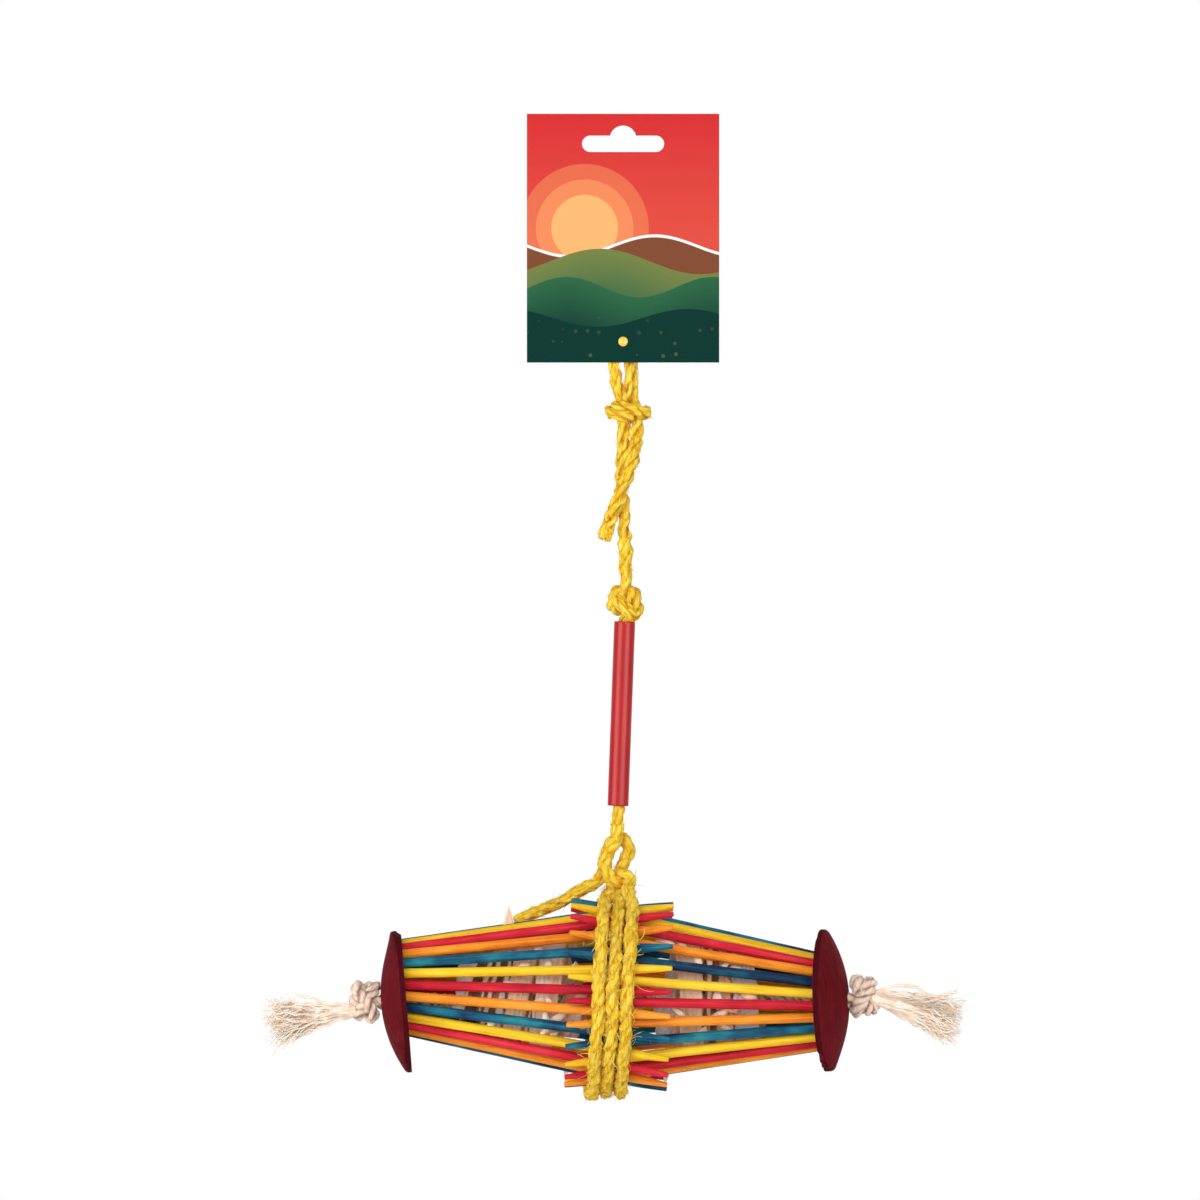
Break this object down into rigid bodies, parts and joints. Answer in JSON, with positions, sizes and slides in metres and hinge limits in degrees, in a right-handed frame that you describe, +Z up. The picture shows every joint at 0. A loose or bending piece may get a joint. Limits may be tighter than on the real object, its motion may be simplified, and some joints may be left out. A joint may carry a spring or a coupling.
{
  "type": "bird foraging toy",
  "caption": "Hanging bird foraging toy: a cage of dyed wooden sticks between domed wooden discs, filled with leaf strips, bound and hung by knotted rope from a header card.",
  "frame": {"origin": "top of the hang slot's round bump, in the card's mid plane", "axes": "+Z up along the hanging rope, +X to the right along the cage, +Y away from the viewer"},
  "size_m": [0.2751, 0.0833, 0.3849],
  "materials": {
    "card": "printed card, satin varnish",
    "rivet": "satin",
    "yellow_rope": "laid sisal, dyed yellow, hairy",
    "natural_rope": "laid cotton, natural, frayed ends",
    "red_tube": "satin",
    "disc_wood": "stained dark red, satin",
    "leaf": "dried leaf, matte",
    "stick_yellow": "dyed, matte",
    "stick_red": "dyed, matte",
    "stick_orange": "dyed, matte",
    "stick_blue": "dyed, matte, mottled"
  },
  "bodies": {
    "card": {"header_card": "card", "card_rivet": "rivet"},
    "loop": {"rope_loop": "yellow_rope"},
    "drop": {"rope_drop": "yellow_rope"},
    "tube": {"red_tube": "red_tube"},
    "swivel": {"rope_stub": "yellow_rope"},
    "basket": {"binding_rope": "yellow_rope", "left_disc": "disc_wood", "right_disc": "disc_wood", "core_rope": "natural_rope", "left_leaf_strip": "leaf", "right_leaf_strip": "leaf", "left_stick_01_red": "stick_red", "left_stick_02_yellow": "stick_yellow", "left_stick_03_blue": "stick_blue", "left_stick_04_orange": "stick_orange", "left_stick_05_red": "stick_red", "left_stick_06_yellow": "stick_yellow", "left_stick_07_blue": "stick_blue", "left_stick_08_orange": "stick_orange", "left_stick_09_red": "stick_red", "left_stick_10_yellow": "stick_yellow", "left_stick_11_blue": "stick_blue", "left_stick_12_orange": "stick_orange", "left_stick_13_red": "stick_red", "left_stick_14_yellow": "stick_yellow", "left_stick_15_blue": "stick_blue", "left_stick_16_orange": "stick_orange", "left_stick_17_red": "stick_red", "left_stick_18_yellow": "stick_yellow", "left_stick_19_blue": "stick_blue", "left_stick_20_orange": "stick_orange", "left_stick_21_red": "stick_red", "left_stick_22_yellow": "stick_yellow", "left_stick_23_blue": "stick_blue", "left_stick_24_orange": "stick_orange", "right_stick_01_red": "stick_red", "right_stick_02_yellow": "stick_yellow", "right_stick_03_blue": "stick_blue", "right_stick_04_orange": "stick_orange", "right_stick_05_red": "stick_red", "right_stick_06_yellow": "stick_yellow", "right_stick_07_blue": "stick_blue", "right_stick_08_orange": "stick_orange", "right_stick_09_red": "stick_red", "right_stick_10_yellow": "stick_yellow", "right_stick_11_blue": "stick_blue", "right_stick_12_orange": "stick_orange", "right_stick_13_red": "stick_red", "right_stick_14_yellow": "stick_yellow", "right_stick_15_blue": "stick_blue", "right_stick_16_orange": "stick_orange", "right_stick_17_red": "stick_red", "right_stick_18_yellow": "stick_yellow", "right_stick_19_blue": "stick_blue", "right_stick_20_orange": "stick_orange", "right_stick_21_red": "stick_red", "right_stick_22_yellow": "stick_yellow", "right_stick_23_blue": "stick_blue", "right_stick_24_orange": "stick_orange"}
  },
  "joints": [
    {"name": "loop_swing", "type": "hinge", "parent": "card", "child": "loop", "pos_m": [0, 0.0032, -0.0842], "axis": [0, 1, 0], "range_deg": [-40, 40]},
    {"name": "rope_swing", "type": "hinge", "parent": "loop", "child": "drop", "pos_m": [0.0012, 0.0032, -0.1786], "axis": [1, 0, 0], "range_deg": [-40, 40]},
    {"name": "tube_slide", "type": "slide", "parent": "drop", "child": "tube", "axis": [-0.0366, 0, -0.9993], "range_m": [0, 0.008]},
    {"name": "rope_twist", "type": "hinge", "parent": "drop", "child": "swivel", "pos_m": [-0.00235, 0.0032, -0.27533], "axis": [0.0366, 0, 0.9993], "range_deg": [-180, 180]},
    {"name": "basket_tilt", "type": "hinge", "parent": "swivel", "child": "basket", "pos_m": [-0.00235, 0.0032, -0.27533], "axis": [0, 1, 0], "range_deg": [-20, 20]}
  ]
}
